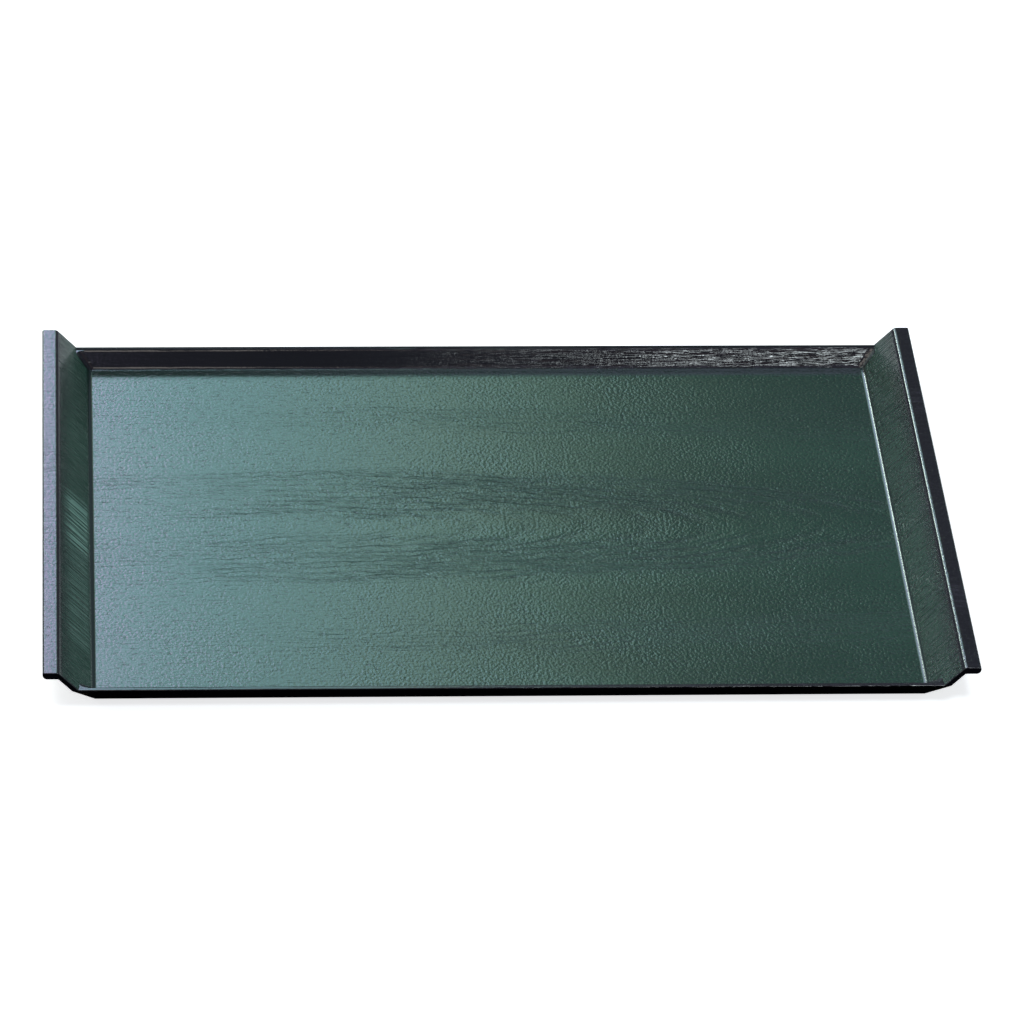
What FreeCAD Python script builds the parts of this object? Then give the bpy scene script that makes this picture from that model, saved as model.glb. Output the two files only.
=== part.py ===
import FreeCAD, Part

import os

import Sketcher

# Lacquered serving tray with two raised wings, as a joiner would make it.
#
# The frame stands on the tray's underside: origin at the middle of the underside, +X to the
# right along the length, +Y to the back, +Z up, in millimetres.
#
# A plywood floor carries four sloping sides, tongued into grooves along its margins. The two
# low rims and the two tall wings meet in mitres, each locked by a slip of hardwood let in
# across the corner. A flat strip is tongued onto the plumb-cut top of each wing, to hold the
# tray by.

# Name, size and meaning of each dimension that can be changed.
DRIVING_SIZES = [
    ("overall_length", 450.0, "over the outer edges of both hand-hold strips"),
    ("overall_width", 330.0, "front to back, over the rims and the ends of the wings"),
    ("side_angle", 46.0, "slope of all four sides, in degrees from level"),
    ("floor_thick", 4.5, "plywood floor"),
    ("side_board", 2.5, "rims and wings, square to their faces"),
    ("rim_rise", 7.4, "top of the rims above the inside floor"),
    ("wing_rise", 17.5, "top of the hand-holds above the inside floor"),
    ("flange_width", 7.5, "flat hand-hold strip"),
    ("foot_setback", 0.5, "inside face of a side to the tongue along its foot"),
    ("tongue_thick", 1.0, "all tongues"),
    ("tongue_depth", 1.1, "all tongues"),
    ("glue_gap", 0.1, "left at the bottom of each groove"),
    ("flange_tongue_drop", 1.9, "top of a hand-hold down to the tongue on its inner edge"),
    ("key_thick", 0.9, "slip across each mitre"),
    ("key_leg", 4.5, "slip, along each side from the outer corner"),
    ("rim_round", 0.5, "top edges of the rims"),
    ("flange_top_round", 0.7, "outer top edge of a hand-hold"),
    ("flange_under_round", 1.5, "outer lower edge of a hand-hold"),
    ("floor_round", 0.4, "arris round the underside of the floor"),
]

# How far a cutting shape reaches past the face that it cuts.
SPARE = 1.0

doc = FreeCAD.newDocument("serving_tray")
sheet = doc.addObject("Spreadsheet::Sheet", "Sizes")
for row, (alias, size, meaning) in enumerate(DRIVING_SIZES, start=1):
    sheet.set(f"A{row}", alias)
    sheet.set(f"B{row}", str(size))
    sheet.set(f"C{row}", meaning)
    sheet.setAlias(f"B{row}", alias)
doc.recompute()


# Lengths that follow from the driving sizes, written as expressions over the sheet.
SLOPE = "tan(Sizes.side_angle)"
LEVEL = "Sizes.floor_thick"
FOOT = "Sizes.side_board / sin(Sizes.side_angle)"
PLUMB = "Sizes.side_board / cos(Sizes.side_angle)"
RIM_RUN = f"Sizes.rim_rise / {SLOPE}"
RIM_TOP = f"({LEVEL} + Sizes.rim_rise)"
WING_TOP = f"({LEVEL} + Sizes.wing_rise)"
FOLD_X = "(Sizes.overall_length / 2 - Sizes.flange_width)"
FLOOR_X = f"({FOLD_X} - Sizes.wing_rise / {SLOPE})"
FLOOR_Y = f"(Sizes.overall_width / 2 - {FOOT} - {RIM_RUN})"
CORNER_REACH = f"({RIM_RUN} + {FOOT})"
GROOVE_DEPTH = "(Sizes.tongue_depth + Sizes.glue_gap)"
KEY_MIDDLE = f"({LEVEL} + Sizes.rim_rise / 2)"
KEY_CORNER = f"({FOOT} + Sizes.rim_rise / 2 / {SLOPE})"


def value(expression):
    """Number that an expression over the sheet stands for."""
    return float(sheet.evalExpression(expression))


def signed(sign, expression):
    """The expression, or its mirror image across the middle of the tray."""
    return expression if sign > 0 else f"-({expression})"


def origin_plane(body, role):
    """One of the body's own three origin planes."""
    return next(item for item in body.Origin.OriginFeatures if item.Role == role)


def sketch_loops(body, name, role, loops, lift=None):
    """Fully dimensioned sketch of closed loops, each a list of (across, up) expressions."""
    sketch = body.newObject("Sketcher::SketchObject", name)
    sketch.AttachmentSupport = (origin_plane(body, role), [""])
    sketch.MapMode = "FlatFace"
    if lift:
        sketch.setExpression("AttachmentOffset.Base.z", lift)
    for loop in loops:
        first = sketch.GeometryCount
        points = [FreeCAD.Vector(value(across), value(up), 0) for across, up in loop]
        for start, end in zip(points, points[1:] + points[:1]):
            sketch.addGeometry(Part.LineSegment(start, end))
        for place, (across, up) in enumerate(loop):
            line = first + place
            following = first + (place + 1) % len(loop)
            sketch.addConstraint(Sketcher.Constraint("Coincident", line, 2, following, 1))
            for kind, size in (("DistanceX", across), ("DistanceY", up)):
                bound = Sketcher.Constraint(kind, -1, 1, line, 1, value(size))
                number = sketch.addConstraint(bound)
                sketch.setExpression(f"Constraints[{number}]", size)
    return sketch


def pad_both_ways(body, name, sketch, length):
    """Solid of the sketch, half the length to each side of its plane."""
    pad = body.newObject("PartDesign::Pad", name)
    pad.Profile = sketch
    pad.SideType = "Symmetric"
    pad.setExpression("Length", length)
    return pad


def pocket(body, name, sketch, depth=None):
    """Cut straight down from the sketch by a depth, or through everything both ways."""
    before = settled_volume(body)
    cut = body.newObject("PartDesign::Pocket", name)
    cut.Profile = sketch
    if depth:
        cut.setExpression("Length", depth)
    else:
        cut.Type = "ThroughAll"
        cut.SideType = "Symmetric"
    if settled_volume(body) >= before:
        raise RuntimeError(f"{name} in {body.Label} cuts nothing")
    return cut


def settled_volume(body):
    """Volume of the body as built so far."""
    doc.recompute()
    return body.Shape.Volume


def round_edges(body, name, radius, chosen):
    """Rounds every edge of the body's newest feature for which chosen(edge) is true."""
    doc.recompute()
    base = body.Tip
    edges = [f"Edge{place}" for place, edge in enumerate(base.Shape.Edges, start=1)
             if chosen(edge)]
    if not edges:
        raise RuntimeError(f"{name} in {body.Label} finds no edge")
    fillet = body.newObject("PartDesign::Fillet", name)
    fillet.Base = (base, edges)
    fillet.setExpression("Radius", radius)
    return fillet


def long_edge_at(side, along, across_at, up_at):
    """Test for an edge that runs along one axis at the given place in the other two."""
    across = "y" if along == "x" else "x"

    def chosen(edge):
        direction = edge.Vertexes[-1].Point - edge.Vertexes[0].Point
        middle = edge.CenterOfMass
        runs_along = abs(getattr(direction, along)) > 0.9 * direction.Length > 0
        in_place = abs(getattr(middle, across) - side * across_at) < 0.01
        return runs_along and in_place and abs(middle.z - up_at) < 0.01

    return chosen


def new_body(label):
    """Empty body whose Label names its file."""
    body = doc.addObject("PartDesign::Body", label)
    body.Label = label
    return body


def foot_tongue(sign, inner):
    """Tongue along a side's foot, which stands in the floor's groove."""
    near = f"{inner} + Sizes.foot_setback"
    far = f"{near} + Sizes.tongue_thick"
    down = f"{LEVEL} - Sizes.tongue_depth"
    return [
        (signed(sign, far), LEVEL),
        (signed(sign, far), down),
        (signed(sign, near), down),
        (signed(sign, near), LEVEL),
    ]


def corner_triangle(sign_x, sign_y, reach_in, reach_out, along_x):
    """Triangle on one side of a corner's mitre line, to cut away what lies beyond it."""
    inner_x = signed(sign_x, f"{FLOOR_X} - {reach_in}")
    inner_y = signed(sign_y, f"{FLOOR_Y} - {reach_in}")
    outer_x = signed(sign_x, f"{FLOOR_X} + {reach_out}")
    outer_y = signed(sign_y, f"{FLOOR_Y} + {reach_out}")
    third = (outer_x, inner_y) if along_x else (inner_x, outer_y)
    return [(inner_x, inner_y), (outer_x, outer_y), third]


def key_triangle(sign_x, sign_y, corner, leg):
    """Right-angled triangle at a corner: its right angle outermost, its legs along the sides."""
    return [
        (signed(sign_x, f"{FLOOR_X} + {corner}"), signed(sign_y, f"{FLOOR_Y} + {corner}")),
        (signed(sign_x, f"{FLOOR_X} + {corner} - ({leg})"),
         signed(sign_y, f"{FLOOR_Y} + {corner}")),
        (signed(sign_x, f"{FLOOR_X} + {corner}"),
         signed(sign_y, f"{FLOOR_Y} + {corner} - ({leg})")),
    ]


def cut_key_slots(body, corners):
    """Slots for the slips across the mitres at the given corners."""
    loops = [key_triangle(sign_x, sign_y, f"{KEY_CORNER} + {SPARE}",
                          f"Sizes.key_leg + {2 * SPARE}")
             for sign_x, sign_y in corners]
    slots = sketch_loops(body, "SlotOutline", "XY_Plane", loops,
                         f"{KEY_MIDDLE} + Sizes.key_thick / 2")
    return pocket(body, "KeySlots", slots, "Sizes.key_thick")


def make_floor_panel():
    """Plywood floor: bevelled all round to carry on the slope of the sides, and grooved."""
    body = new_body("floor_panel")
    edge_x = f"({FLOOR_X} + {FOOT})"
    edge_y = f"({FLOOR_Y} + {FOOT})"
    blank = sketch_loops(body, "BlankOutline", "XY_Plane", [[
        (f"-{edge_x}", f"-{edge_y}"),
        (edge_x, f"-{edge_y}"),
        (edge_x, edge_y),
        (f"-{edge_x}", edge_y),
    ]])
    board = body.newObject("PartDesign::Pad", "Board")
    board.Profile = blank
    board.setExpression("Length", LEVEL)
    for name, plane, edge in (("EndBevels", "XZ_Plane", edge_x),
                              ("LongBevels", "YZ_Plane", edge_y)):
        below = f"-{SPARE}"
        above = f"{LEVEL} + {SPARE}"
        innermost = f"{edge} - ({LEVEL} + {SPARE}) / {SLOPE}"
        outermost = f"{edge} + {SPARE} / {SLOPE}"
        wedges = [[
            (signed(sign, innermost), below),
            (signed(sign, outermost), below),
            (signed(sign, outermost), above),
        ] for sign in (-1, 1)]
        pocket(body, name, sketch_loops(body, f"{name}Outline", plane, wedges))
    ring = []
    for offset in ("Sizes.foot_setback", "Sizes.foot_setback + Sizes.tongue_thick"):
        half_x = f"({FLOOR_X} + {offset})"
        half_y = f"({FLOOR_Y} + {offset})"
        ring.append([
            (f"-{half_x}", f"-{half_y}"),
            (half_x, f"-{half_y}"),
            (half_x, half_y),
            (f"-{half_x}", half_y),
        ])
    groove = sketch_loops(body, "GrooveOutline", "XY_Plane", ring, LEVEL)
    pocket(body, "Groove", groove, GROOVE_DEPTH)
    round_edges(body, "Arris", "Sizes.floor_round",
                lambda edge: abs(edge.BoundBox.ZMax) < 0.01)
    return body


def make_rim(label, sign):
    """Low side along the front (sign -1) or the back (sign +1), mitred at both ends."""
    body = new_body(label)
    section = [
        (signed(sign, FLOOR_Y), LEVEL),
        (signed(sign, f"{FLOOR_Y} + {RIM_RUN}"), RIM_TOP),
        (signed(sign, f"{FLOOR_Y} + {CORNER_REACH}"), RIM_TOP),
        (signed(sign, f"{FLOOR_Y} + {FOOT}"), LEVEL),
    ] + foot_tongue(sign, FLOOR_Y)
    profile = sketch_loops(body, "Section", "YZ_Plane", [section])
    pad_both_ways(body, "Board", profile, f"2 * ({FLOOR_X} + {CORNER_REACH})")
    mitres = [corner_triangle(end, sign, SPARE, f"{CORNER_REACH} + {SPARE}", along_x=True)
              for end in (-1, 1)]
    pocket(body, "Mitres", sketch_loops(body, "MitreOutline", "XY_Plane", mitres))
    cut_key_slots(body, [(-1, sign), (1, sign)])
    top = value(RIM_TOP)
    inner = long_edge_at(sign, "x", value(f"{FLOOR_Y} + {RIM_RUN}"), top)
    outer = long_edge_at(sign, "x", value(f"{FLOOR_Y} + {CORNER_REACH}"), top)
    round_edges(body, "TopEdges", "Sizes.rim_round",
                lambda edge: inner(edge) or outer(edge))
    return body


def make_wing(label, sign):
    """Tall end board on the left (sign -1) or the right (sign +1)."""
    body = new_body(label)
    joint = FOLD_X
    upper = f"{WING_TOP} - Sizes.flange_tongue_drop"
    lower = f"{upper} - Sizes.tongue_thick"
    socket = f"{joint} - {GROOVE_DEPTH}"
    section = [
        (signed(sign, FLOOR_X), LEVEL),
        (signed(sign, joint), WING_TOP),
        (signed(sign, joint), upper),
        (signed(sign, socket), upper),
        (signed(sign, socket), lower),
        (signed(sign, joint), lower),
        (signed(sign, joint), f"{WING_TOP} - {PLUMB}"),
        (signed(sign, f"{FLOOR_X} + {FOOT}"), LEVEL),
    ] + foot_tongue(sign, FLOOR_X)
    profile = sketch_loops(body, "Section", "XZ_Plane", [section])
    pad_both_ways(body, "Board", profile, "Sizes.overall_width")
    mitres = [corner_triangle(sign, end, SPARE, f"{CORNER_REACH} + {SPARE}", along_x=False)
              for end in (-1, 1)]
    below_rim = sketch_loops(body, "MitreOutline", "XY_Plane", mitres, RIM_TOP)
    pocket(body, "Mitres", below_rim, f"{RIM_TOP} + {SPARE}")
    cut_key_slots(body, [(sign, -1), (sign, 1)])
    return body


def make_flange(label, sign):
    """Flat strip to hold the tray by, tongued onto the plumb-cut top of a wing."""
    body = new_body(label)
    outer = "Sizes.overall_length / 2"
    upper = f"{WING_TOP} - Sizes.flange_tongue_drop"
    lower = f"{upper} - Sizes.tongue_thick"
    tip = f"{FOLD_X} - Sizes.tongue_depth"
    under = f"{WING_TOP} - {PLUMB}"
    section = [
        (signed(sign, FOLD_X), WING_TOP),
        (signed(sign, outer), WING_TOP),
        (signed(sign, outer), under),
        (signed(sign, FOLD_X), under),
        (signed(sign, FOLD_X), lower),
        (signed(sign, tip), lower),
        (signed(sign, tip), upper),
        (signed(sign, FOLD_X), upper),
    ]
    profile = sketch_loops(body, "Section", "XZ_Plane", [section])
    pad_both_ways(body, "Strip", profile, "Sizes.overall_width")
    round_edges(body, "UpperEdge", "Sizes.flange_top_round",
                long_edge_at(sign, "y", value(outer), value(WING_TOP)))
    round_edges(body, "LowerEdge", "Sizes.flange_under_round",
                long_edge_at(sign, "y", value(outer), value(under)))
    return body


def make_key(label, sign_x, sign_y):
    """Slip of hardwood across a mitre, trimmed flush with the slope of both sides."""
    body = new_body(label)
    outlines = []
    for name, up in (("LowerOutline", "-"), ("UpperOutline", "+")):
        height = f"{KEY_MIDDLE} {up} Sizes.key_thick / 2"
        corner = f"{KEY_CORNER} {up} Sizes.key_thick / 2 / {SLOPE}"
        leg = f"Sizes.key_leg {up} Sizes.key_thick / {SLOPE}"
        triangle = key_triangle(sign_x, sign_y, corner, leg)
        outlines.append(sketch_loops(body, name, "XY_Plane", [triangle], height))
    slip = body.newObject("PartDesign::AdditiveLoft", "Slip")
    slip.Profile = outlines[0]
    slip.Sections = [outlines[1]]
    slip.Ruled = True
    return body


bodies = [make_floor_panel()]
for side_name, side in (("front", -1), ("rear", 1)):
    bodies.append(make_rim(f"{side_name}_rim", side))
for side_name, side in (("left", -1), ("right", 1)):
    bodies.append(make_wing(f"{side_name}_wing", side))
    bodies.append(make_flange(f"{side_name}_flange", side))
for row_name, row_side in (("front", -1), ("rear", 1)):
    for side_name, side in (("left", -1), ("right", 1)):
        bodies.append(make_key(f"{row_name}_{side_name}_key", side, row_side))
doc.recompute()

for item in doc.Objects:
    if "Invalid" in item.State or "Error" in item.State:
        raise RuntimeError(f"{item.Label} did not build: {item.State}")
for body in bodies:
    if body.Shape.isNull() or not body.Shape.isValid() or len(body.Shape.Solids) != 1:
        raise RuntimeError(f"{body.Label} is not one sound solid")

os.makedirs("parts", exist_ok=True)
for body in bodies:
    body.Shape.exportStep(f"parts/{body.Label}.step")
    box = body.Shape.BoundBox
    print(f"{body.Label}: {body.Shape.Volume:.1f} mm3, x {box.XMin:.2f} to {box.XMax:.2f}, "
          f"y {box.YMin:.2f} to {box.YMax:.2f}, z {box.ZMin:.2f} to {box.ZMax:.2f}")
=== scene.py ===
import math

import bmesh
import bpy
from mathutils import Matrix, Vector


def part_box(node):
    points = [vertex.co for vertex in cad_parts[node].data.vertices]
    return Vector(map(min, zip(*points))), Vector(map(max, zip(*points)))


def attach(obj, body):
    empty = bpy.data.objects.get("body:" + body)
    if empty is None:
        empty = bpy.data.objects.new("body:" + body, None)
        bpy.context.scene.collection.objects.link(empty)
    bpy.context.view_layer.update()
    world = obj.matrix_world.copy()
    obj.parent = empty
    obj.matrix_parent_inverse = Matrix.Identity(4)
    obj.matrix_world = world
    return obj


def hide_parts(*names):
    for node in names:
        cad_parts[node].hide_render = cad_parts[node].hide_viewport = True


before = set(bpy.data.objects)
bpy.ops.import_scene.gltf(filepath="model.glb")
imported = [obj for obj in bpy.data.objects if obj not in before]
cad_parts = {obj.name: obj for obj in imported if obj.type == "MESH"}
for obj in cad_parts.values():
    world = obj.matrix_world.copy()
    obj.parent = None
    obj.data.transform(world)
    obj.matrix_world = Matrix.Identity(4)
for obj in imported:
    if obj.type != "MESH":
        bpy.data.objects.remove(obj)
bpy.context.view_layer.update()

MM = 0.001

# Places taken from the boards of the frame.
floor_low, floor_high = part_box("floor_panel")
wing_low, wing_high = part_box("right_wing")
flange_low, flange_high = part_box("right_flange")
rim_low, rim_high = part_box("rear_rim")

FLOOR_TOP = floor_high.z
RIM_TOP = rim_high.z
WING_TOP = wing_high.z
FOOT_X = wing_low.x
FOOT_Y = rim_low.y
FOLD_X = wing_high.x
LENGTH_HALF = flange_high.x
WIDTH_HALF = wing_high.y
FLANGE_THICK = flange_high.z - flange_low.z
SLOPE = (WING_TOP - FLOOR_TOP) / (FOLD_X - FOOT_X)

# Small shaping that the lacquerer and the joiner leave on the edges.
COVE = 1.4 * MM
FOLD_EASE = 1.0 * MM
RIM_INNER_EASE = 1.4 * MM
RIM_OUTER_EASE = 1.0 * MM
TIP_TOP_EASE = 0.9 * MM
TIP_UNDER_EASE = 2.2 * MM
UNDERFOLD_EASE = 0.4 * MM
END_EASE = 0.4 * MM
ARRIS = 0.4 * MM
CORNER_RADIUS = 5.0 * MM

# Working allowances: stock started inside the foot, the least cut off its toe, the spare
# length that a saw takes off again, and how deep the cove's stock sits in the boards.
TOE_STOCK = 3 * MM
TOE_TRIM = 0.01 * MM
SAW_SPARE = 1.0 * MM
COVE_BURY = 0.6 * MM

# Where finishes meet: green and black inside the fold and the ends, gloss and matt on the
# rear rim, and how far in front of the rear rim the lacquer pools and the rim's painted shade
# reaches.
PAINT_LINE = 1.7 * MM
END_LINE = 0.8 * MM
MATT_LINE = FOOT_Y + 7.7 * MM
POOL_AND_SHADE_LENGTH = 17 * MM

# How far the painted border wavers, the width of the shaded strip inside it, and the painted
# crease shade above the foot of a wing, from where it is darkest to where it has faded.
WAVER = 0.9 * MM
SHADE_WIDTH = 6 * MM
FOOT_CREASE_SHADE = (FOOT_X + 1.0 * MM, FOOT_X + 2.6 * MM)

# Left wing: where the painted sheen patch fades in below the fold and out above the foot.
SHEEN_FOLD_FADE = (-FOLD_X + 2 * MM, -FOLD_X + 8 * MM)
SHEEN_FOOT_FADE = (-FOOT_X - 3 * MM, -FOOT_X - 1 * MM)
SHEEN_FRONT_FADE = 14 * MM
SHEEN_REAR_FADE = 22 * MM

# Distance from a fold within which the lacquer runs smooth, and the relief that is left.
CALM_FADE = (0.9 * MM, 2.0 * MM)
CALM_RELIEF = 0.06


# ---------------------------------------------------------------- shaping tools

def deselect_everything():
    """Clears the selection, so that the next operator acts on new work only."""
    bpy.ops.object.select_all(action="DESELECT")


def take_up(piece):
    """Selects one piece alone and makes it the active one."""
    deselect_everything()
    piece.select_set(True)
    bpy.context.view_layer.objects.active = piece


def add_block(name, low, high):
    """Block between two corners, left in edit mode with all of it selected."""
    deselect_everything()
    middle = (Vector(low) + Vector(high)) / 2
    size = Vector(high) - Vector(low)
    bpy.ops.mesh.primitive_cube_add(size=1, location=middle, scale=size)
    piece = bpy.context.active_object
    piece.name = name
    piece.data.name = name
    bpy.ops.object.transform_apply(location=True, rotation=True, scale=True)
    bpy.ops.object.mode_set(mode="EDIT")
    return piece


def choose_faces(test):
    """In edit mode, selects the faces for which test(middle, normal) is true."""
    bpy.ops.mesh.select_mode(type="FACE")
    bpy.ops.mesh.select_all(action="DESELECT")
    mesh = bmesh.from_edit_mesh(bpy.context.edit_object.data)
    for face in mesh.faces:
        if test(face.calc_center_median(), face.normal):
            face.select_set(True)
    bmesh.update_edit_mesh(bpy.context.edit_object.data)


def choose_edges(test):
    """In edit mode, selects the edges for which test(middle, direction) is true."""
    bpy.ops.mesh.select_mode(type="EDGE")
    bpy.ops.mesh.select_all(action="DESELECT")
    mesh = bmesh.from_edit_mesh(bpy.context.edit_object.data)
    for edge in mesh.edges:
        start, end = (corner.co for corner in edge.verts)
        if test((start + end) / 2, (end - start).normalized()):
            edge.select_set(True)
    bmesh.update_edit_mesh(bpy.context.edit_object.data)


def extrude(offset):
    """Extrudes the selected faces by an offset."""
    bpy.ops.mesh.extrude_region_move(TRANSFORM_OT_translate={"value": tuple(offset)})


def ease(width, steps):
    """Rounds the selected edges."""
    bpy.ops.mesh.bevel(offset=width, offset_type="OFFSET", segments=steps, profile=0.5,
                       clamp_overlap=False)


def saw(place, normal):
    """Cuts the piece by a plane and keeps the part behind it, with the cut closed."""
    bpy.ops.mesh.select_all(action="SELECT")
    bpy.ops.mesh.bisect(plane_co=place, plane_no=normal, use_fill=True,
                        clear_outer=True, threshold=1e-7)


def near(value, wanted, slack=0.02 * MM):
    """True if a length is the wanted one."""
    return abs(value - wanted) < slack


def long_edge(along, places):
    """Test for an edge that runs along one axis through one of the given (across, up) places."""
    across = 1 - along

    def test(middle, direction):
        return abs(direction[along]) > 0.999 and any(
            near(middle[across], side) and near(middle.z, up) for side, up in places)

    return test


def leave_edit(piece):
    """Back to object mode, with doubles merged and normals pointing outwards."""
    bpy.ops.mesh.select_all(action="SELECT")
    bpy.ops.mesh.remove_doubles(threshold=1e-6)
    bpy.ops.mesh.normals_make_consistent(inside=False)
    bpy.ops.object.mode_set(mode="OBJECT")
    return piece


def copy_piece(piece, name):
    """Copy of a piece with a mesh of its own, left in edit mode."""
    take_up(piece)
    bpy.ops.object.duplicate()
    twin = bpy.context.active_object
    twin.name = name
    twin.data.name = name
    bpy.ops.object.mode_set(mode="EDIT")
    return twin


def discard(piece):
    """Takes a helper away for good."""
    bpy.data.objects.remove(piece, do_unlink=True)


def smooth(piece, degrees=30):
    """Smooth shading that breaks at real edges and leaves the flat boards flat."""
    take_up(piece)
    bpy.ops.object.shade_smooth_by_angle(angle=math.radians(degrees))
    level = piece.modifiers.new("flat_boards", "WEIGHTED_NORMAL")
    level.mode = "FACE_AREA"
    level.weight = 100
    level.keep_sharp = True
    bpy.ops.object.modifier_apply(modifier=level.name)


def turn_half(piece):
    """Turns a finished piece half round about the middle of the tray."""
    take_up(piece)
    piece.matrix_world = Matrix.Rotation(math.pi, 4, "Z")
    bpy.ops.object.transform_apply(location=True, rotation=True, scale=True)


# ---------------------------------------------------------------- the boards

def shape_floor():
    """Floor panel with bevelled margins and a softened arris underneath."""
    panel = add_block("tray_floor", (-floor_high.x, -floor_high.y, 0),
                      (floor_high.x, floor_high.y, FLOOR_TOP))
    under_x = floor_high.x - FLOOR_TOP / SLOPE
    under_y = floor_high.y - FLOOR_TOP / SLOPE
    choose_faces(lambda middle, normal: normal.z < -0.9)
    bpy.ops.transform.resize(value=(under_x / floor_high.x, under_y / floor_high.y, 1),
                             center_override=(0, 0, 0))
    choose_edges(lambda middle, direction: near(middle.z, 0))
    ease(ARRIS, 3)
    return leave_edit(panel)


def shape_folded_end():
    """Right-hand end board folded out into its flange, before it is sawn apart."""
    end = add_block("end_board", (FOOT_X - TOE_STOCK, -WIDTH_HALF, FLOOR_TOP - FLANGE_THICK),
                    (FOOT_X, WIDTH_HALF, FLOOR_TOP))
    choose_faces(lambda middle, normal: normal.x > 0.9)
    extrude((FOLD_X - FOOT_X, 0, WING_TOP - FLOOR_TOP))
    extrude((LENGTH_HALF - FOLD_X, 0, 0))
    choose_edges(long_edge(1, [(FOOT_X, FLOOR_TOP)]))
    ease(COVE, 6)
    choose_edges(long_edge(1, [(FOLD_X, WING_TOP)]))
    ease(FOLD_EASE, 6)
    choose_edges(long_edge(1, [(LENGTH_HALF, WING_TOP)]))
    ease(TIP_TOP_EASE, 4)
    choose_edges(long_edge(1, [(LENGTH_HALF, WING_TOP - FLANGE_THICK)]))
    ease(TIP_UNDER_EASE, 5)
    choose_edges(long_edge(1, [(FOLD_X, WING_TOP - FLANGE_THICK)]))
    ease(UNDERFOLD_EASE, 3)
    saw((0, 0, FLOOR_TOP + TOE_TRIM), (0, 0, -1))
    bpy.ops.mesh.select_all(action="SELECT")
    bpy.ops.mesh.dissolve_limited(angle_limit=math.radians(0.2))
    choose_edges(lambda middle, direction: near(abs(middle.y), WIDTH_HALF)
                 and middle.z > FLOOR_TOP + 0.05 * MM)
    ease(END_EASE, 3)
    return leave_edit(end)


def mitre_wedge(sign_y):
    """Wedge beyond a corner's mitre, up to the rim's height."""
    reach = 30 * MM
    wedge = leave_edit(add_block("wedge", (-reach, 0, -reach), (reach, reach, RIM_TOP)))
    turn = Matrix.Rotation(sign_y * math.radians(45) + (0 if sign_y > 0 else math.pi), 4, "Z")
    corner = Matrix.Translation((FOOT_X, sign_y * FOOT_Y, 0))
    wedge.matrix_world = corner @ turn
    return wedge


def cut_with(piece, cutter):
    """Takes a cutter's volume out of a piece."""
    take_up(piece)
    cut = piece.modifiers.new("mitre", "BOOLEAN")
    cut.object = cutter
    cut.operation = "DIFFERENCE"
    cut.solver = "EXACT"
    bpy.ops.object.modifier_apply(modifier=cut.name)
    discard(cutter)


def shape_end():
    """Wing and flange of the right-hand end."""
    folded = shape_folded_end()
    flange = copy_piece(folded, "right_handhold")
    saw((FOLD_X, 0, 0), (-1, 0, 0))
    leave_edit(flange)
    wing = copy_piece(folded, "right_wing_board")
    saw((FOLD_X, 0, 0), (1, 0, 0))
    leave_edit(wing)
    for sign_y in (-1, 1):
        cut_with(wing, mitre_wedge(sign_y))
    discard(folded)
    return wing, flange


def shape_rim():
    """Rear rim, mitred at both ends."""
    reach = FOOT_X + (WIDTH_HALF - FOOT_Y) + SAW_SPARE
    rim = add_block("rear_rim_board", (-reach, FOOT_Y - TOE_STOCK, FLOOR_TOP - FLANGE_THICK),
                    (reach, FOOT_Y, FLOOR_TOP))
    rise = RIM_TOP - FLOOR_TOP + FLANGE_THICK + SAW_SPARE
    choose_faces(lambda middle, normal: normal.y > 0.9)
    extrude((0, rise / SLOPE, rise))
    choose_edges(long_edge(0, [(FOOT_Y, FLOOR_TOP)]))
    ease(COVE, 6)
    saw((0, 0, FLOOR_TOP + TOE_TRIM), (0, 0, -1))
    saw((0, 0, RIM_TOP), (0, 0, 1))
    inner_top = FOOT_Y + (RIM_TOP - FLOOR_TOP) / SLOPE
    choose_edges(long_edge(0, [(inner_top, RIM_TOP)]))
    ease(RIM_INNER_EASE, 6)
    choose_edges(lambda middle, direction: near(middle.z, RIM_TOP)
                 and abs(direction.x) > 0.999 and middle.y > inner_top + 2 * MM)
    ease(RIM_OUTER_EASE, 6)
    for sign_x in (-1, 1):
        saw((sign_x * FOOT_X, FOOT_Y, 0), (sign_x, -1, 0))
    return leave_edit(rim)


def shape_corner_cove():
    """Cove of filler down the corner between the rear rim and the right wing."""
    run = (RIM_TOP - FLOOR_TOP) / SLOPE
    foot = Vector((FOOT_X, FOOT_Y, FLOOR_TOP))
    valley = Vector((run, run, RIM_TOP - FLOOR_TOP)).normalized()
    lean = math.hypot(1, SLOPE)
    rim_normal = Vector((0, -SLOPE, 1)) / lean
    wing_normal = Vector((-SLOPE, 0, 1)) / lean
    spread_angle = rim_normal.angle(wing_normal)
    outward = (rim_normal + wing_normal).normalized()
    reach = CORNER_RADIUS * math.tan(spread_angle / 2)
    cove = add_block("rear_right_cove", foot - Vector((12 * MM, 12 * MM, 2 * MM)),
                     foot + Vector((20 * MM, 20 * MM, 14 * MM)))
    saw(foot - rim_normal * COVE_BURY, -rim_normal)
    saw(foot - wing_normal * COVE_BURY, -wing_normal)
    saw(foot + outward * reach * math.sin(spread_angle / 2) * 1.001, outward)
    saw((0, 0, FLOOR_TOP), (0, 0, -1))
    saw((0, 0, RIM_TOP - 0.3 * MM), (0, 0, 1))
    leave_edit(cove)
    deselect_everything()
    axis_point = foot + outward * (CORNER_RADIUS / math.cos(spread_angle / 2))
    bpy.ops.mesh.primitive_cylinder_add(
        vertices=96, radius=CORNER_RADIUS, depth=60 * MM, location=axis_point,
        rotation=valley.to_track_quat("Z", "Y").to_euler())
    cut_with(cove, bpy.context.active_object)
    return cove


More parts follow.
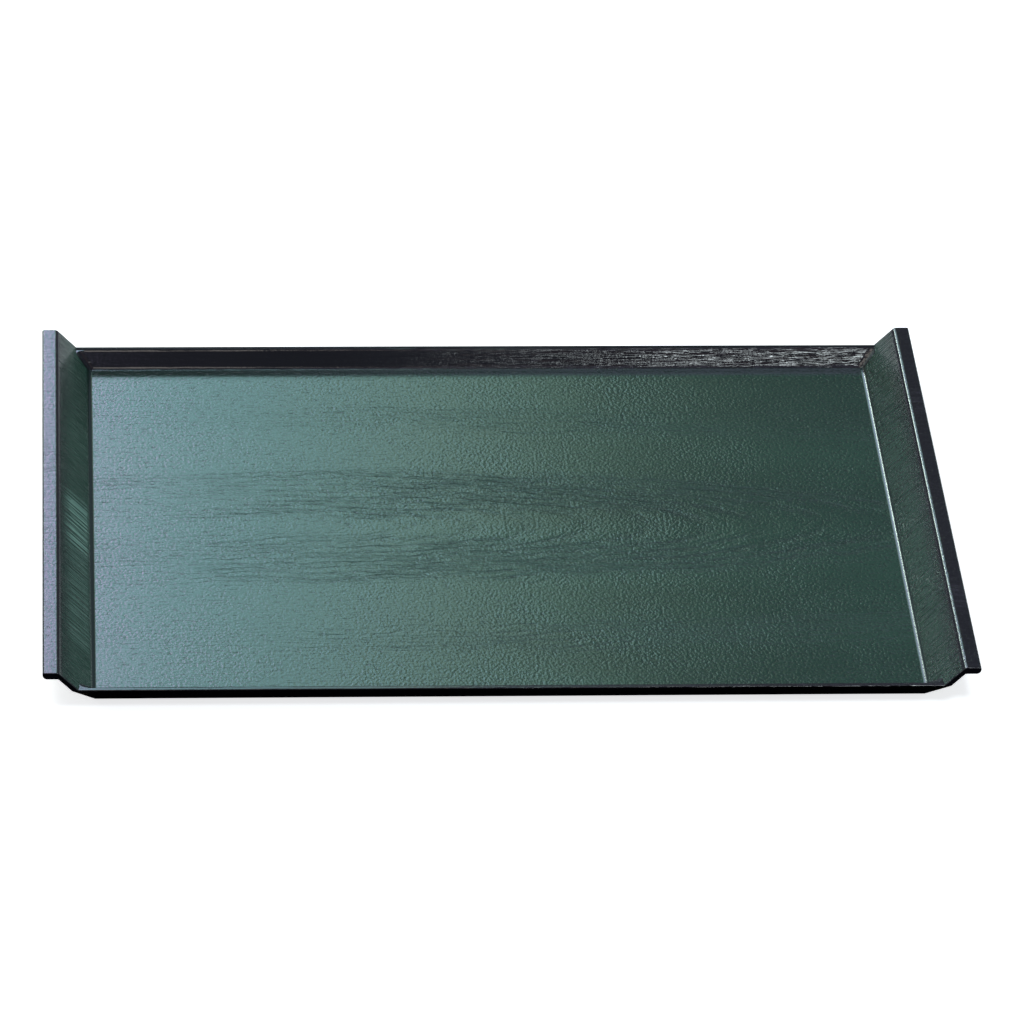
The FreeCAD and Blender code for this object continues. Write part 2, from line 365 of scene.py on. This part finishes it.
def mirror_piece(piece, name, sign_x, sign_y):
    """Copy of a piece on another corner of the tray."""
    twin = copy_piece(piece, name)
    bpy.ops.mesh.select_all(action="SELECT")
    bpy.ops.transform.resize(value=(sign_x, sign_y, 1), center_override=(0, 0, 0))
    if sign_x * sign_y < 0:
        bpy.ops.mesh.flip_normals()
    return leave_edit(twin)


# ---------------------------------------------------------------- node tools

def link(tree, start, end):
    """Wires an output socket to an input socket."""
    tree.links.new(start, end)


def feed(tree, value, socket):
    """Gives an input socket a plain number, a colour or another node's output."""
    if isinstance(value, (int, float)):
        socket.default_value = value
    elif isinstance(value, tuple):
        socket.default_value = (*value, 1)
    else:
        link(tree, value, socket)


def maths(tree, operation, *values):
    """Math node on sockets or plain numbers; gives its output socket."""
    node = tree.nodes.new("ShaderNodeMath")
    node.operation = operation
    for value, socket in zip(values, node.inputs):
        feed(tree, value, socket)
    return node.outputs[0]


def product(tree, first, *others):
    """Sockets or plain numbers multiplied in turn."""
    for other in others:
        first = maths(tree, "MULTIPLY", first, other)
    return first


def centred(tree, value):
    """Noise shifted so that it swings about zero."""
    return maths(tree, "SUBTRACT", value, 0.5)


def axes(tree, vector):
    """Outputs X, Y and Z of a vector."""
    node = tree.nodes.new("ShaderNodeSeparateXYZ")
    link(tree, vector, node.inputs[0])
    return node.outputs


def object_place(tree):
    """Place on the piece, in its own coordinates."""
    return tree.nodes.new("ShaderNodeTexCoord").outputs["Object"]


def noise(tree, vector, scale, detail=2.0, rough=0.5):
    """Noise texture on a vector; gives its value socket."""
    node = tree.nodes.new("ShaderNodeTexNoise")
    node.inputs["Scale"].default_value = scale
    node.inputs["Detail"].default_value = detail
    node.inputs["Roughness"].default_value = rough
    link(tree, vector, node.inputs["Vector"])
    return node.outputs["Fac"]


def streaky_noise(tree, vector, scales, detail=2.0, rough=0.5):
    """Noise drawn out by its own scale along each axis."""
    node = tree.nodes.new("ShaderNodeMapping")
    node.inputs["Scale"].default_value = scales
    link(tree, vector, node.inputs["Vector"])
    return noise(tree, node.outputs["Vector"], 1.0, detail, rough)


def spread(tree, value, low, high, to_low=0.0, to_high=1.0):
    """Value mapped smoothly from one range to another."""
    node = tree.nodes.new("ShaderNodeMapRange")
    node.interpolation_type = "SMOOTHSTEP"
    node.inputs["From Min"].default_value = low
    node.inputs["From Max"].default_value = high
    node.inputs["To Min"].default_value = to_low
    node.inputs["To Max"].default_value = to_high
    link(tree, value, node.inputs["Value"])
    return node.outputs["Result"]


def blend_colours(tree, share, first, second):
    """Colour between two, each a socket or a plain colour."""
    node = tree.nodes.new("ShaderNodeMix")
    node.data_type = "RGBA"
    link(tree, share, node.inputs["Factor"])
    feed(tree, first, node.inputs[6])
    feed(tree, second, node.inputs[7])
    return node.outputs[2]


def raise_relief(tree, shader, height, distance, strength=1.0):
    """Bump on a shader, with a plain or a changing strength."""
    bump = tree.nodes.new("ShaderNodeBump")
    bump.inputs["Distance"].default_value = distance
    feed(tree, strength, bump.inputs["Strength"])
    link(tree, height, bump.inputs["Height"])
    link(tree, bump.outputs["Normal"], shader.inputs["Normal"])


def new_material(name):
    """Material, its node tree and its Principled BSDF."""
    material = bpy.data.materials.new(name)
    material.use_nodes = True
    return material, material.node_tree, material.node_tree.nodes["Principled BSDF"]


def new_group(name, inputs, outputs):
    """Empty shader node group on a vector; gives its tree, input node and output node."""
    group = bpy.data.node_groups.new(name, "ShaderNodeTree")
    group.interface.new_socket("Vector", in_out="INPUT", socket_type="NodeSocketVector")
    for label, start in inputs:
        socket = group.interface.new_socket(label, in_out="INPUT",
                                            socket_type="NodeSocketFloat")
        socket.default_value = start
    for label in outputs:
        group.interface.new_socket(label, in_out="OUTPUT", socket_type="NodeSocketFloat")
    return group, group.nodes.new("NodeGroupInput"), group.nodes.new("NodeGroupOutput")


def add_group(tree, group, place, values):
    """Node group placed in a material with its own values; gives its outputs."""
    node = tree.nodes.new("ShaderNodeGroup")
    node.node_tree = group
    for label, value in values:
        node.inputs[label].default_value = value
    link(tree, place, node.inputs["Vector"])
    return node.outputs


# ---------------------------------------------------------------- lacquer

# The flat-sawn board: place of the pith across the tray, its depth at the middle, how much
# it sinks along X, and the distance between growth rings.
BOARD = (("Centre", -3 * MM), ("Depth", 20 * MM), ("Taper", 0.146), ("Spacing", 4.3 * MM))
# Nibs of dust: how close together, how large, and the share of places that stay clean.
NIB_SPREAD = (("Scale", 45.0), ("Size", 0.03), ("Share", 0.9))

# How finely each noise is drawn along X, Y and Z; nought leaves an axis out.
WANDER_SCALE = (14, 32, 0)
PATCH_SCALE = (16, 34, 0)
DASH_SCALE = (130, 520, 0)
FIBRE_SCALE = (110, 900, 0)
PORE_SCALE = (240, 1100, 0)
PEBBLE_SCALE = (700, 520, 700)
PEBBLE_PATCH_SCALE = (18, 24, 18)
CLOUD_SCALE = (6, 12, 6)
RIDGE_SCALE = (20, 600, 0)
SLIP_SCALE = (300, 300, 4000)
# The fine lines: how finely they are drawn along X and outwards from the pith.
LINE_ALONG = 38.0
LINE_OUTWARDS = 520.0
WANDER_REACH = 20 * MM

# How much each layer of the grain adds to the relief.
LINE_RELIEF = 3.2
RING_RELIEF = -1.1
FIBRE_RELIEF = 0.5
PORE_RELIEF = -0.3
PEBBLE_RELIEF = 1.5
NIB_RELIEF = 2.0

GREEN_DEEP = (0.0115, 0.044, 0.0285)
GREEN_THIN = (0.0170, 0.062, 0.040)
GREEN_PORE = (0.007, 0.022, 0.017)
GREEN_WING_PORE = (0.004, 0.013, 0.011)
# Painted shade of the rear rim on the floor in front of it.
GREEN_PAINTED_RIM_SHADE = (0.003, 0.014, 0.010)
# Painted sheen on the ridges of the left wing.
GREEN_PAINTED_SHEEN = (0.20, 0.38, 0.31)
BLACK_DEEP = (0.003, 0.0025, 0.005)
BLACK_THIN = (0.005, 0.0045, 0.008)
BLACK_PORE = (0.003, 0.003, 0.004)
DUST = (0.55, 0.55, 0.52)
WOOD_DARK = (0.42, 0.28, 0.15)
WOOD_PALE = (0.62, 0.45, 0.27)


def make_grain_group():
    """Relief of a flat-sawn face under lacquer: nested arcs of growth rings, pores and pebble.

    The rings are circles round a pith that lies Depth under the face and sinks by Taper
    along X, so the face cuts them in arcs whose tips point to +X. All lengths are metres.
    """
    tree, source, target = new_group(
        "wood_grain_relief", BOARD, ("Height", "Rings", "Pores", "Cloud", "Pebble"))
    place = source.outputs["Vector"]
    spot = axes(tree, place)

    # Distance from the pith, which wanders, and the ripple of the rings it crosses.
    wander = streaky_noise(tree, place, WANDER_SCALE, 4.0, 0.55)
    wobble = product(tree, centred(tree, wander), WANDER_REACH)
    across = maths(tree, "ADD", maths(tree, "SUBTRACT", spot["Y"], source.outputs["Centre"]),
                   wobble)
    deep = maths(tree, "MULTIPLY_ADD", spot["X"], source.outputs["Taper"],
                 source.outputs["Depth"])
    radius = maths(tree, "SQRT", maths(tree, "ADD", maths(tree, "POWER", across, 2.0),
                                       maths(tree, "POWER", deep, 2.0)))
    turns = maths(tree, "DIVIDE", radius, source.outputs["Spacing"])
    wave = maths(tree, "SINE", product(tree, turns, 2 * math.pi))
    ripple = maths(tree, "MULTIPLY_ADD", wave, 0.5, 0.5)
    groove = maths(tree, "POWER", ripple, 3.5)

    # The rings show in the heart and in an outer band, in broken dashes, more towards +X.
    heart = spread(tree, radius, 50 * MM, 60 * MM, 1.0, 0.0)
    outer = product(tree, spread(tree, radius, 90 * MM, 98 * MM),
                    spread(tree, radius, 114 * MM, 122 * MM, 0.4, 0.0))
    band = maths(tree, "ADD", maths(tree, "ADD", heart, outer), 0.10)
    patch = spread(tree, streaky_noise(tree, place, PATCH_SCALE), 0.34, 0.62, 0.45, 1.0)
    dash = spread(tree, streaky_noise(tree, place, DASH_SCALE, 2.0, 0.6),
                  0.34, 0.60, 0.45, 1.0)
    tips = spread(tree, maths(tree, "ABSOLUTE", across), 3 * MM, 13 * MM, 0.3, 1.0)
    along = spread(tree, spot["X"], -190 * MM, 110 * MM, 0.30, 1.35)
    rings = product(tree, groove, product(tree, band, along, product(tree, patch, dash, tips)))

    # Fine lines that follow the rings.
    flow = tree.nodes.new("ShaderNodeCombineXYZ")
    link(tree, product(tree, spot["X"], LINE_ALONG), flow.inputs["X"])
    link(tree, product(tree, radius, LINE_OUTWARDS), flow.inputs["Y"])
    lines = product(tree, centred(tree, noise(tree, flow.outputs[0], 1.0, 3.0, 0.6)),
                    product(tree, band, along, tips))

    # Fibres, pores between the rings, and the pebble of the lacquer itself.
    fibre = streaky_noise(tree, place, FIBRE_SCALE, 3.0, 0.65)
    pricks = streaky_noise(tree, place, PORE_SCALE, 2.0, 0.6)
    pores = product(tree, spread(tree, pricks, 0.55, 0.70),
                    maths(tree, "MULTIPLY_ADD", ripple, 0.6, 0.4))
    rough_patch = streaky_noise(tree, place, PEBBLE_PATCH_SCALE)
    pebble = product(tree, centred(tree, streaky_noise(tree, place, PEBBLE_SCALE, 1.0)),
                     spread(tree, rough_patch, 0.38, 0.66, 0.70, 1.15),
                     spread(tree, spot["X"], -200 * MM, 170 * MM, 0.50, 1.10))

    height = maths(tree, "MULTIPLY_ADD", lines, LINE_RELIEF, product(tree, rings, RING_RELIEF))
    height = maths(tree, "MULTIPLY_ADD", centred(tree, fibre), FIBRE_RELIEF, height)
    height = maths(tree, "MULTIPLY_ADD", pores, PORE_RELIEF, height)
    height = maths(tree, "MULTIPLY_ADD", pebble, PEBBLE_RELIEF, height)
    cloud = streaky_noise(tree, place, CLOUD_SCALE, 3.0)
    for label, value in (("Height", height), ("Rings", rings), ("Pores", pores),
                         ("Cloud", cloud), ("Pebble", pebble)):
        link(tree, value, target.inputs[label])
    return tree


def make_nib_group():
    """Few pale nibs of dust caught in the lacquer."""
    tree, source, target = new_group("dust_nibs", NIB_SPREAD, ("Mask",))
    cells = tree.nodes.new("ShaderNodeTexVoronoi")
    cells.inputs["Randomness"].default_value = 1.0
    link(tree, source.outputs["Vector"], cells.inputs["Vector"])
    link(tree, source.outputs["Scale"], cells.inputs["Scale"])
    dot = maths(tree, "LESS_THAN", cells.outputs["Distance"], source.outputs["Size"])
    draw = tree.nodes.new("ShaderNodeSeparateColor")
    link(tree, cells.outputs["Color"], draw.inputs[0])
    chosen = maths(tree, "GREATER_THAN", draw.outputs[0], source.outputs["Share"])
    link(tree, product(tree, dot, chosen), target.inputs["Mask"])
    return tree


def border_coat(tree, coat, place, spot, border, pore_colour):
    """Second colour past the painted border, with a shaded strip and painted crease shade inside
    it.
    """
    reach_x, reach_y, second = border
    waver = product(tree, noise(tree, place, 260.0), WAVER)
    far_x = maths(tree, "ADD", maths(tree, "ABSOLUTE", spot["X"]), waver)
    far_y = maths(tree, "ADD", maths(tree, "ABSOLUTE", spot["Y"]), waver)
    shade = product(tree, spread(tree, far_x, reach_x - SHADE_WIDTH, reach_x),
                    spread(tree, noise(tree, place, 700.0), 0.38, 0.55, 0.35, 1.0), 0.85)
    # Painted crease shade: the coat darkens just above the foot of the wing.
    crease_shade = spread(tree, far_x, *FOOT_CREASE_SHADE, 0.9, 0.0)
    past = maths(tree, "MAXIMUM", spread(tree, far_x, reach_x, reach_x + 0.5 * MM),
                 spread(tree, far_y, reach_y, reach_y + 0.4 * MM))
    for share, colour in ((shade, pore_colour), (crease_shade, pore_colour), (past, second)):
        coat = blend_colours(tree, share, coat, colour)
    return coat


def painted_sheen_mask(tree, spot, ridge, start, stop):
    """Painted sheen: ridges of the left wing board painted pale between two places along Y."""
    return product(tree, spread(tree, spot["Y"], start, start + SHEEN_FRONT_FADE),
                   spread(tree, spot["Y"], stop - SHEEN_REAR_FADE, stop, 1.0, 0.0),
                   spread(tree, ridge, 0.45, 0.55),
                   maths(tree, "LESS_THAN", spot["X"], 0.0),
                   spread(tree, spot["X"], *SHEEN_FOLD_FADE),
                   spread(tree, spot["X"], *SHEEN_FOOT_FADE, 1.0, 0.0))


def lacquer(name, colours, rough, relief, border=None, streaks=0.0, plain_to=None,
            calm=(), pool_and_shade=0.0, sheen_patches=(), shine=0.5):
    """Glossy lacquer over open grain, in three colours: deep, thin and in the pores.

    Border gives a second colour past its reach along X and Y. Streaks is the height of long
    ridges along X, which grow across plain_to. Calm lists the folds where the lacquer runs
    smooth, pool_and_shade is how far it creeps up beside the rear rim, where the coat is also
    darkened with painted shade, sheen_patches lists stretches along Y on the left where the
    ridges get a painted sheen, and shine is the strength of the mirror reflection.
    """
    deep_colour, thin_colour, pore_colour = colours
    material, tree, shader = new_material(name)
    place = object_place(tree)
    spot = axes(tree, place)
    grain = add_group(tree, GRAIN, place, BOARD)
    nibs = add_group(tree, NIBS, place, NIB_SPREAD)["Mask"]
    coat = blend_colours(tree, spread(tree, grain["Cloud"], 0.3, 0.7),
                         deep_colour, thin_colour)
    for share in (product(tree, grain["Pores"], 0.5), product(tree, grain["Rings"], 0.35),
                  spread(tree, grain["Pebble"], 0.04, -0.20, 0.0, 0.55)):
        coat = blend_colours(tree, share, coat, pore_colour)
    height = maths(tree, "MULTIPLY_ADD", nibs, NIB_RELIEF, grain["Height"])
    if border:
        coat = border_coat(tree, coat, place, spot, border, pore_colour)
    if streaks:
        ridge = streaky_noise(tree, place, RIDGE_SCALE, 3.0, 0.6)
        grown = centred(tree, ridge)
        if plain_to:
            grown = product(tree, grown, spread(tree, spot["X"], *plain_to, 0.15, 1.0))
        height = maths(tree, "MULTIPLY_ADD", grown, streaks, height)
        # Painted sheen: pale green on the ridges of the left wing, standing in for their glints.
        for start, stop, share in sheen_patches:
            sheen = product(tree, painted_sheen_mask(tree, spot, ridge, start, stop), share)
            coat = blend_colours(tree, sheen, coat, GREEN_PAINTED_SHEEN)
    if pool_and_shade:
        # Painted shade: the floor's coat darkens towards the foot of the rear rim, standing in
        # for the rim's shade and dark reflection; the bump is the lacquer pooling there.
        creep_and_shade = spread(tree, spot["Y"], FOOT_Y - POOL_AND_SHADE_LENGTH, FOOT_Y)
        coat = blend_colours(tree, spread(tree, creep_and_shade, 0.35, 0.85, 0.0, 0.85),
                             coat, GREEN_PAINTED_RIM_SHADE)
        height = maths(tree, "MULTIPLY_ADD", maths(tree, "POWER", creep_and_shade, 3.0),
                       pool_and_shade / relief, height)
    link(tree, blend_colours(tree, nibs, coat, DUST), shader.inputs["Base Color"])
    link(tree, spread(tree, grain["Cloud"], 0.25, 0.75, *rough), shader.inputs["Roughness"])
    shader.inputs["Specular IOR Level"].default_value = shine
    shader.inputs["IOR"].default_value = 1.5
    strength = 1.0
    for fold in calm:
        gap = maths(tree, "SUBTRACT", maths(tree, "ABSOLUTE", spot["X"]), fold)
        still = spread(tree, maths(tree, "ABSOLUTE", gap), *CALM_FADE, CALM_RELIEF, 1.0)
        strength = product(tree, still, strength)
    raise_relief(tree, shader, height, relief, strength)
    return material


def bare_wood():
    """Pale hardwood of the slips inside the mitres."""
    material, tree, shader = new_material("bare_slip_wood")
    streak = streaky_noise(tree, object_place(tree), SLIP_SCALE, 3.0, 0.6)
    link(tree, blend_colours(tree, streak, WOOD_DARK, WOOD_PALE), shader.inputs["Base Color"])
    link(tree, spread(tree, streak, 0.3, 0.7, 0.55, 0.75), shader.inputs["Roughness"])
    raise_relief(tree, shader, streak, 0.05 * MM, 0.3)
    return material


def paint(piece, plain, special=None, test=None):
    """One finish all over a piece, and a special one where test(middle, normal) is true."""
    piece.data.materials.clear()
    piece.data.materials.append(plain)
    if special:
        piece.data.materials.append(special)
    for face in piece.data.polygons:
        chosen = special is not None and test(face.center, face.normal)
        face.material_index = 1 if chosen else 0


GRAIN = make_grain_group()
NIBS = make_nib_group()
BLACKS = (BLACK_DEEP, BLACK_THIN, BLACK_PORE)
RIDGE_FADE = (-60 * MM, 5 * MM)
GREEN = lacquer("green_lacquer", (GREEN_DEEP, GREEN_THIN, GREEN_PORE), (0.12, 0.18),
                0.16 * MM, pool_and_shade=2.4 * MM)
BLACK = lacquer("black_lacquer", BLACKS, (0.12, 0.16), 0.14 * MM)
COMBED = lacquer("black_lacquer_combed", BLACKS, (0.11, 0.14), 0.05 * MM, streaks=20.0,
                 plain_to=RIDGE_FADE)
MATT = lacquer("black_lacquer_matt", BLACKS, (0.51, 0.54), 0.05 * MM, streaks=20.0,
               plain_to=RIDGE_FADE, shine=0.1)
TWO_TONE = lacquer("green_lacquer_black_edges", (GREEN_DEEP, GREEN_THIN, GREEN_WING_PORE),
                   (0.12, 0.18), 0.36 * MM,
                   border=(FOLD_X - PAINT_LINE, WIDTH_HALF - END_LINE, BLACK_DEEP),
                   streaks=3.6, calm=(FOOT_X, FOLD_X),
                   sheen_patches=((-42 * MM, 22 * MM, 0.8), (-130 * MM, -25 * MM, 0.25)))
SLIP = bare_wood()


# ---------------------------------------------------------------- assembly

tray_floor = shape_floor()
paint(tray_floor, BLACK, GREEN, lambda middle, normal: normal.z > 0.9)
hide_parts("floor_panel")

right_wing, right_handhold = shape_end()
rear_rim = shape_rim()

pieces = [tray_floor]
for part, twin_name, node, twin_node, slot in (
        (right_wing, "left_wing_board", "right_wing", "left_wing", "green_lacquer"),
        (right_handhold, "left_handhold", "right_flange", "left_flange", "black_lacquer"),
        (rear_rim, "front_rim_board", "rear_rim", "front_rim", "black_lacquer")):
    twin = copy_piece(part, twin_name)
    bpy.ops.object.mode_set(mode="OBJECT")
    turn_half(twin)
    for piece, stands_for in ((part, node), (twin, twin_node)):
        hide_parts(stands_for)
        pieces.append(piece)
    if part is right_wing:
        for piece, side in ((part, 1), (twin, -1)):
            paint(piece, BLACK, TWO_TONE,
                  lambda middle, normal, side=side: normal.x * side < -0.05
                  and normal.z > 0.3 and abs(normal.y) < 0.3)
    elif part is rear_rim:
        paint(part, COMBED, MATT, lambda middle, normal: middle.y > MATT_LINE)
        paint(twin, COMBED)
    else:
        paint(part, BLACK)
        paint(twin, BLACK)

rear_right_cove = shape_corner_cove()
coves = [rear_right_cove]
for twin_name, sign_x, sign_y in (("rear_left_cove", -1, 1), ("front_left_cove", -1, -1),
                                  ("front_right_cove", 1, -1)):
    coves.append(mirror_piece(rear_right_cove, twin_name, sign_x, sign_y))
for cove in coves:
    paint(cove, BLACK)
    pieces.append(cove)

for piece in pieces:
    smooth(piece)
    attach(piece, "root")

for name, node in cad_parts.items():
    if name.endswith("_key"):
        for slot in node.material_slots:
            slot.link = "OBJECT"
            slot.material = SLIP


# ---------------------------------------------------------------- studio

def area_light(name, place, target, width, height, glow):
    """Soft rectangular light aimed at a point, with its brightness given by its glow."""
    data = bpy.data.lights.new(name, "AREA")
    data.shape = "RECTANGLE"
    data.size = width
    data.size_y = height
    strongest = max(glow)
    data.energy = strongest * math.pi * width * height
    data.color = [channel / strongest for channel in glow]
    lamp = bpy.data.objects.new(name, data)
    bpy.context.scene.collection.objects.link(lamp)
    lamp.location = place
    lamp.rotation_euler = (Vector(target) - Vector(place)).to_track_quat("-Z", "Y").to_euler()
    lamp.visible_camera = False
    return lamp


# The strips make one graded softbox behind the tray, bright on the left and fading out to
# the right. Each has its place along X and its glow (red, green, blue).
STRIP_WIDTH, STRIP_HEIGHT = 0.09, 0.9
STRIP_BEHIND, STRIP_UP = 1.5, 0.95
REAR_STRIPS = (
    (-0.45, (2.9, 3.5, 3.9)), (-0.36, (3.1, 3.6, 4.4)), (-0.27, (4.4, 3.8, 6.2)),
    (-0.18, (1.75, 3.25, 3.6)), (-0.09, (1.25, 2.35, 2.5)), (0.0, (1.25, 2.1, 2.1)),
    (0.09, (1.0, 1.55, 1.25)), (0.18, (0.30, 0.40, 0.26)), (0.27, (0.12, 0.13, 0.08)),
)

# Name, place, width, height and glow of the other soft lights. They aim at the middle of
# the tray, apart from the front ones, which aim straight across it.
STUDIO_LIGHTS = (
    ("rear_slit", (-0.44, 1.5, 0.66), 0.12, 0.2, (19.0, 25.0, 21.0)),
    ("rear_far_left", (-0.75, 1.45, 0.95), 0.5, 0.9, (1.0, 1.3, 1.4)),
    ("right_low", (1.0, 1.4, 0.22), 0.3, 0.4, (0.9, 1.2, 1.1)),
    ("left_far", (-1.25, 1.1, 0.95), 0.5, 0.9, (0.6, 0.9, 0.8)),
    ("left", (-1.6, 0.5, 0.95), 0.8, 0.9, (1.2, 1.1, 0.9)),
    ("high_left", (-0.8, 1.0, 1.6), 0.8, 0.6, (2.7, 2.8, 2.5)),
    ("high_right", (0.4, 1.0, 1.6), 0.8, 0.6, (0.6, 0.6, 0.9)),
    ("top_left", (-0.5, 0.1, 1.9), 0.8, 0.9, (2.7, 2.5, 2.3)),
    ("top_right", (0.5, 0.1, 1.9), 0.8, 0.9, (0.3, 0.2, 0.2)),
    ("front_left", (-0.35, -0.72, 1.15), 0.25, 0.5, (0.8, 0.75, 1.1)),
    ("front_middle", (0.22, -0.72, 1.2), 0.11, 0.28, (2.2, 2.4, 2.6)),
    ("front_right", (0.4, -0.72, 1.2), 0.25, 0.28, (22.0, 24.5, 25.0)),
    ("right", (1.6, 0.6, 0.9), 0.9, 0.9, (0.4, 0.7, 0.6)),
)


# Table: its size, its drop below the tray, and the stretch of Y over which its mirrored
# side goes from painted shade in front to pale behind.
TABLE_SIZE = 24
TABLE_GAP = 0.02 * MM
TABLE_SHADE_FADE = (-0.12, 0.10)


def mix_for_camera(tree, others, camera, out):
    """Surface that looks one way to the camera and another to all other rays."""
    mix = tree.nodes.new("ShaderNodeMixShader")
    link(tree, tree.nodes.new("ShaderNodeLightPath").outputs["Is Camera Ray"],
         mix.inputs["Fac"])
    link(tree, others.outputs[0], mix.inputs[1])
    link(tree, camera.outputs[0], mix.inputs[2])
    link(tree, mix.outputs[0], out.inputs["Surface"])


def make_studio_floor():
    """Plain pale table under the tray; what the lacquer mirrors of it is darker in front, a
    painted shade.
    """
    deselect_everything()
    bpy.ops.mesh.primitive_plane_add(size=TABLE_SIZE, location=(0, 0, -TABLE_GAP))
    table = bpy.context.active_object
    table.name = "studio_table"
    material, tree, shader = new_material("pale_table")
    place = object_place(tree)
    mottle = noise(tree, place, 3.0, 3.0)
    link(tree, blend_colours(tree, mottle, (0.80, 0.80, 0.80), (0.84, 0.84, 0.84)),
         shader.inputs["Base Color"])
    shader.inputs["Roughness"].default_value = 0.9
    glow = tree.nodes.new("ShaderNodeEmission")
    glow.inputs["Color"].default_value = (1, 1, 1, 1)
    glow.inputs["Strength"].default_value = 0.75
    lit = tree.nodes.new("ShaderNodeAddShader")
    link(tree, shader.outputs[0], lit.inputs[0])
    link(tree, glow.outputs[0], lit.inputs[1])
    dim = tree.nodes.new("ShaderNodeBsdfDiffuse")
    # Painted shade: the table that the lacquer mirrors is dark in front of the tray.
    behind = spread(tree, axes(tree, place)["Y"], *TABLE_SHADE_FADE)
    link(tree, blend_colours(tree, behind, (0.02, 0.02, 0.02), (0.8, 0.8, 0.8)),
         dim.inputs["Color"])
    mix_for_camera(tree, dim, lit, tree.nodes["Material Output"])
    table.data.materials.append(material)


def make_world():
    """Dim room round the tray, with a white surround where the camera looks past the table."""
    world = bpy.data.worlds.new("studio_room")
    bpy.context.scene.world = world
    world.use_nodes = True
    tree = world.node_tree
    tree.nodes.clear()
    room = tree.nodes.new("ShaderNodeBackground")
    room.inputs["Color"].default_value = (0.72, 0.8, 1.0, 1)
    room.inputs["Strength"].default_value = 0.25
    surround = tree.nodes.new("ShaderNodeBackground")
    surround.inputs["Color"].default_value = (1, 1, 1, 1)
    surround.inputs["Strength"].default_value = 1.0
    mix_for_camera(tree, room, surround, tree.nodes.new("ShaderNodeOutputWorld"))


def make_camera():
    """Long lens (244 mm on a 36 mm sensor) from the front, looking down at the tray."""
    yaw, lift, roll = math.radians(4.38), math.radians(31.15), math.radians(2.01)
    distance = 3.4765
    aim = Vector((9.66 * MM, 10.13 * MM, FLOOR_TOP))
    look = Vector((math.sin(yaw) * math.cos(lift), math.cos(yaw) * math.cos(lift),
                   -math.sin(lift)))
    data = bpy.data.cameras.new("studio_camera")
    data.sensor_width = 36
    data.lens = 243.984375
    data.clip_start = 0.1
    data.clip_end = 100
    camera = bpy.data.objects.new("studio_camera", data)
    bpy.context.scene.collection.objects.link(camera)
    right = Vector((math.cos(yaw), -math.sin(yaw), 0))
    up = right.cross(look)
    across = right * math.cos(roll) + up * math.sin(roll)
    upright = up * math.cos(roll) - right * math.sin(roll)
    turn = Matrix((across, upright, -look)).transposed().to_4x4()
    camera.matrix_world = Matrix.Translation(aim - look * distance) @ turn
    bpy.context.scene.camera = camera


make_studio_floor()
make_world()
make_camera()
for across, glow in REAR_STRIPS:
    area_light("rear_strip", (across, STRIP_BEHIND, STRIP_UP), (across, 0, 0),
               STRIP_WIDTH, STRIP_HEIGHT, glow)
for name, place, width, height, glow in STUDIO_LIGHTS:
    aim = (place[0], 0, 0) if place[1] < 0 else (0, 0, 0)
    area_light(name, place, aim, width, height, glow)

bpy.context.scene.view_settings.view_transform = "Standard"
